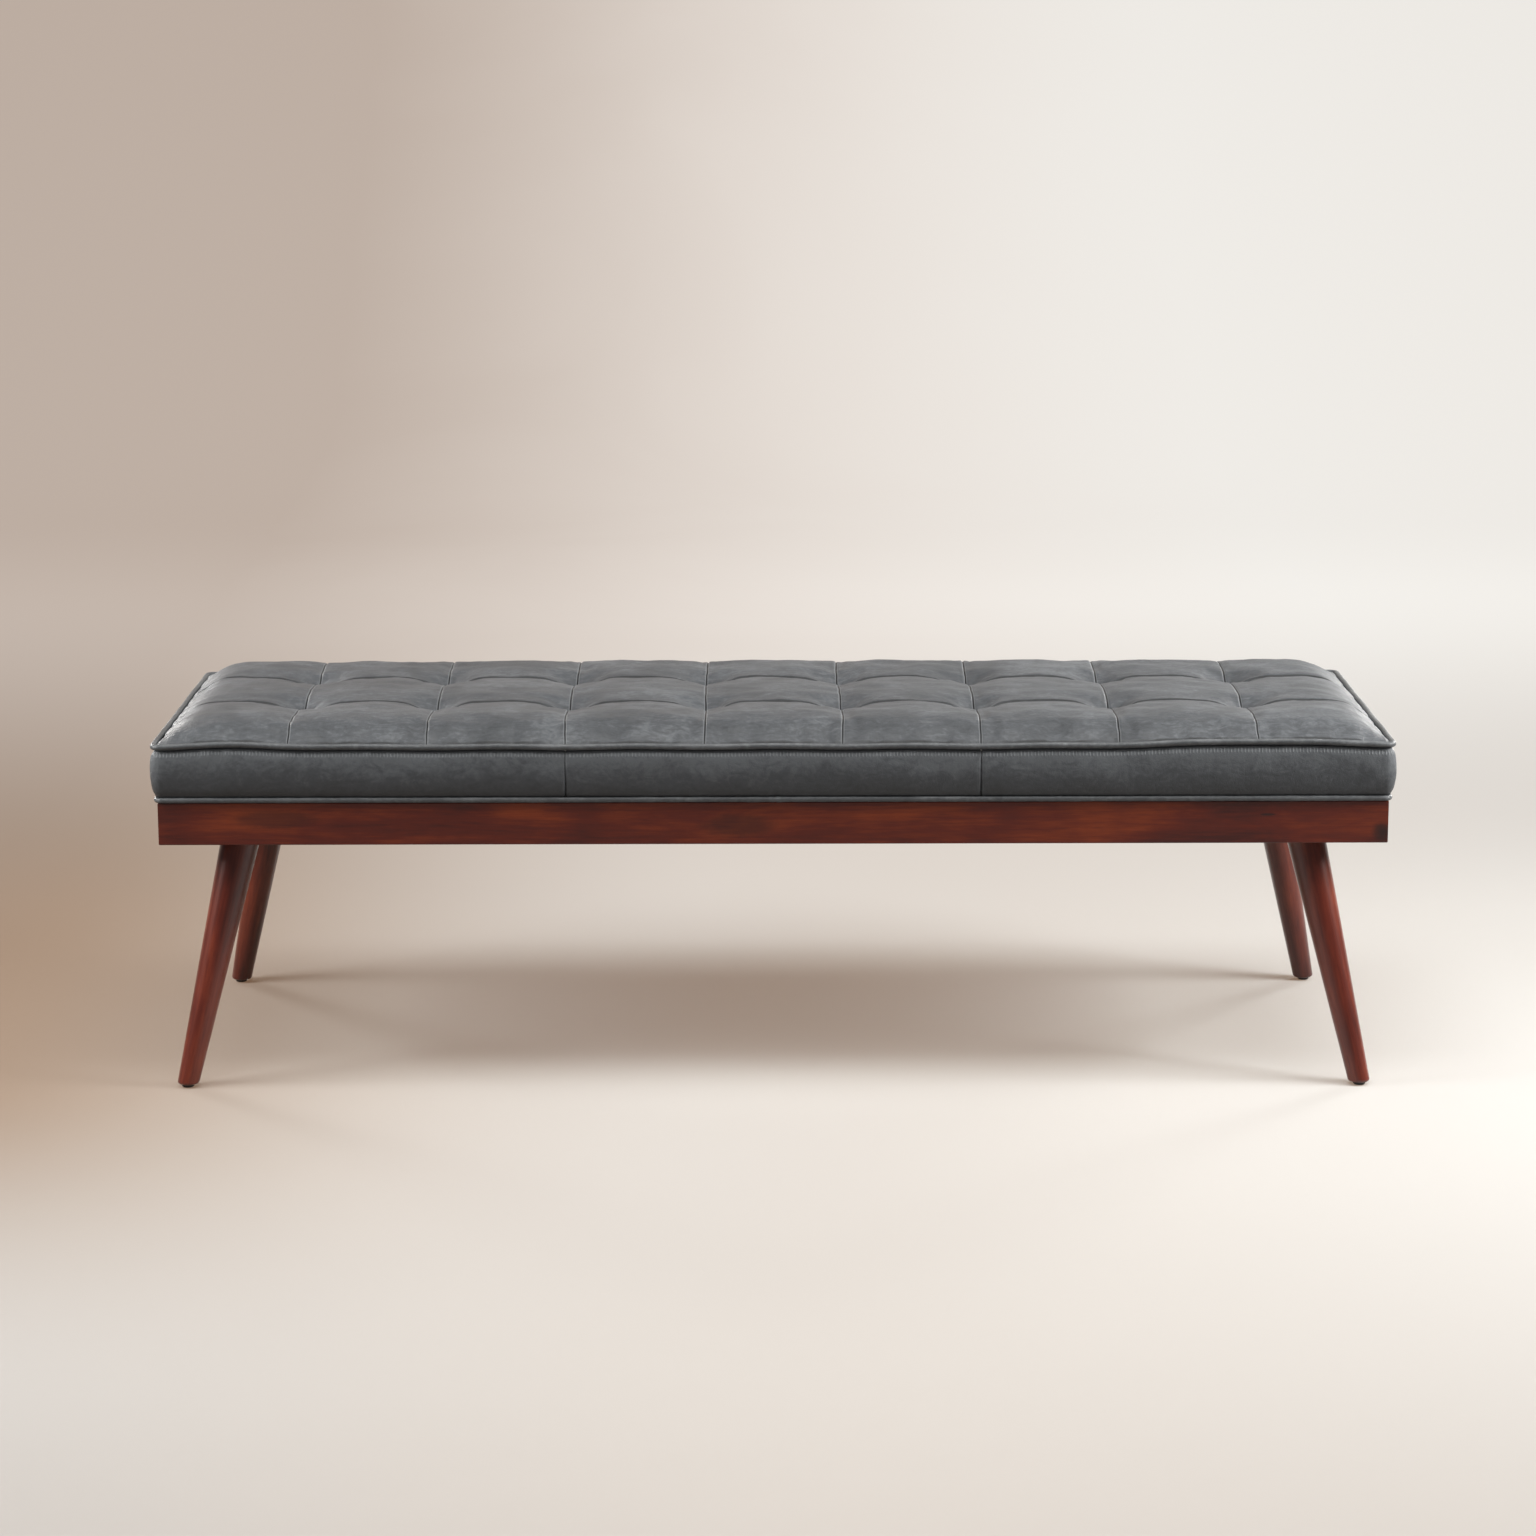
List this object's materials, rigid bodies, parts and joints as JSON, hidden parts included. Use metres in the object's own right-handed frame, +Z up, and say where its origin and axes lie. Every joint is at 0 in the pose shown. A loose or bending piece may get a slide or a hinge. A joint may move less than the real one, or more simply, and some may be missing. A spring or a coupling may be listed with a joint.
{
  "type": "upholstered bench",
  "caption": "Long tufted leather bench cushion with piped boxing on a mitred wooden frame, standing on round tapered legs that splay outwards.",
  "frame": {"origin": "on the floor under the middle of the bench", "axes": "+X along the bench to the right as a person sits, +Y to the back, +Z up"},
  "size_m": [1.5242, 0.5374, 0.4575],
  "materials": {
    "stained_wood": "red-brown stain under satin lacquer",
    "raw_wood": "planed softwood, unfinished",
    "plywood": "birch plywood, unfinished",
    "steel": "zinc plated",
    "brass_insert": "plain",
    "black_plastic": "moulded, satin",
    "top_leather": "waxed grey leather with pull-up mottling",
    "side_leather": "waxed grey leather",
    "piping_leather": "grey leather rolled over cord",
    "twine": "waxed nylon twine",
    "foam": "open-cell upholstery foam",
    "wadding": "polyester wadding",
    "dust_cloth": "black non-woven cloth"
  },
  "bodies": {
    "root": {"bottom_piping": "piping_leather", "corner_block_front_left": "raw_wood", "corner_block_front_right": "raw_wood", "corner_block_rear_left": "raw_wood", "corner_block_rear_right": "raw_wood", "corner_block_screws": "steel", "cover_hem": "side_leather", "cross_rail_dowels": "raw_wood", "deck_screws": "steel", "dust_cover": "dust_cloth", "foam_core": "foam", "front_boxing_left": "side_leather", "front_boxing_middle": "side_leather", "front_boxing_right": "side_leather", "front_rail": "stained_wood", "front_row_of_puffs": "top_leather", "glide_front_left": "black_plastic", "glide_front_right": "black_plastic", "glide_nails": "steel", "glide_rear_left": "black_plastic", "glide_rear_right": "black_plastic", "hanger_bolts": "steel", "left_cross_rail": "raw_wood", "left_end_boxing": "side_leather", "left_end_rail": "stained_wood", "leg_front_left": "stained_wood", "leg_front_right": "stained_wood", "leg_rear_left": "stained_wood", "leg_rear_right": "stained_wood", "middle_cross_rail": "raw_wood", "middle_row_of_puffs": "top_leather", "rear_boxing_left": "side_leather", "rear_boxing_middle": "side_leather", "rear_boxing_right": "side_leather", "rear_rail": "stained_wood", "rear_row_of_puffs": "top_leather", "right_cross_rail": "raw_wood", "right_end_boxing": "side_leather", "right_end_rail": "stained_wood", "seat_deck": "plywood", "threaded_inserts": "brass_insert", "tie_buttons": "black_plastic", "top_piping": "piping_leather", "tuft_ties": "twine", "wadding_wrap": "wadding"}
  },
  "joints": []
}
